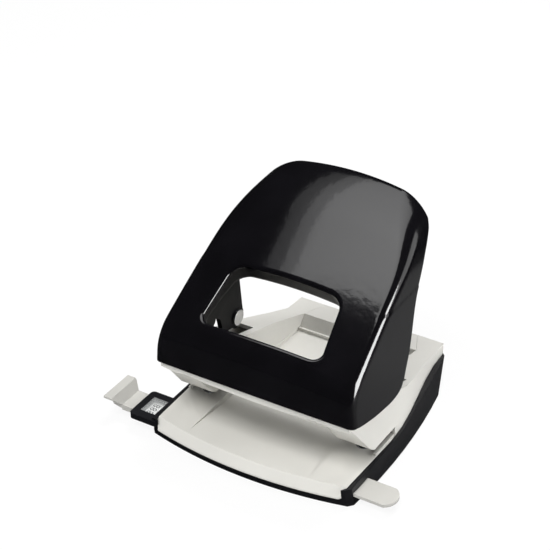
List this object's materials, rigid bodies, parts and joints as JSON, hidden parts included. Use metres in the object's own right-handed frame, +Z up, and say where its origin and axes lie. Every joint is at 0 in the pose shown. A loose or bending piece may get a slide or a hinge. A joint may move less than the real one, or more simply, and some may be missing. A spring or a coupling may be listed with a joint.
{
  "type": "hole punch",
  "caption": "Two-hole desk punch with a pressed steel handle that hinges at the front, a sliding paper guide and a chip door underneath.",
  "frame": {"origin": "middle of the underside of the rubber mat and feet, on the table that the punch stands on", "axes": "+X to the right, +Y to the rear, +Z up; the paper goes in from -Y"},
  "size_m": [0.1449, 0.1197, 0.1072],
  "materials": {
    "black_plastic": "satin moulded plastic",
    "rubber": "matte",
    "light_plastic": "fine matte moulded plastic",
    "bright_steel": "zinc plated",
    "tool_steel": "ground",
    "spring_steel": "bright",
    "black_enamel": "gloss enamel on pressed steel",
    "stud": "satin",
    "window": "clear",
    "screws": "zinc plated"
  },
  "bodies": {
    "base": {"base_tray": "black_plastic", "rear_mat": "rubber", "front_feet": "rubber", "deck": "light_plastic", "housing": "light_plastic", "die_plate_left": "bright_steel", "die_plate_right": "bright_steel", "cutting_die_left": "tool_steel", "cutting_die_right": "tool_steel", "punch_bracket_left": "bright_steel", "punch_bracket_right": "bright_steel", "return_spring_left": "spring_steel", "return_spring_right": "spring_steel", "pivot_axle": "bright_steel", "axle_clips": "spring_steel", "guide_window": "window", "rail_spring": "bright_steel", "base_screws": "screws", "bracket_screws": "screws"},
    "handle": {"handle_shell": "black_enamel", "press_frame": "black_enamel", "handle_stud_left": "stud", "handle_stud_right": "stud"},
    "pin_left": {"punch_pin_left": "tool_steel", "spring_washer_left": "bright_steel", "pin_clip_left": "spring_steel"},
    "pin_right": {"punch_pin_right": "tool_steel", "spring_washer_right": "bright_steel", "pin_clip_right": "spring_steel"},
    "guide": {"guide_rail": "light_plastic"},
    "chip_lid": {"chip_door": "black_plastic"}
  },
  "joints": [
    {"name": "handle_hinge", "type": "hinge", "parent": "base", "child": "handle", "pos_m": [0, -0.038, 0.036], "axis": [-1, 0, 0], "range_deg": [0, 24], "stiffness_Nm_per_rad": 0.8, "springref_deg": -25.78},
    {"name": "pin_left_slide", "type": "slide", "parent": "base", "child": "pin_left", "axis": [0, 0, -1], "range_m": [0, 0.008], "deforming": ["return_spring_left"]},
    {"name": "pin_right_slide", "type": "slide", "parent": "base", "child": "pin_right", "axis": [0, 0, -1], "range_m": [0, 0.008], "deforming": ["return_spring_right"]},
    {"name": "guide_slide", "type": "slide", "parent": "base", "child": "guide", "axis": [-1, 0, 0], "range_m": [0, 0.0965]},
    {"name": "chip_door_hinge", "type": "hinge", "parent": "base", "child": "chip_lid", "pos_m": [0, -0.0066, 0.0015], "axis": [1, 0, 0], "range_deg": [0, 90]}
  ],
  "couplings": [
    {"joint": "pin_left_slide", "follows": "handle_hinge", "m_per_rad": 0.019},
    {"joint": "pin_right_slide", "follows": "handle_hinge", "m_per_rad": 0.019}
  ]
}
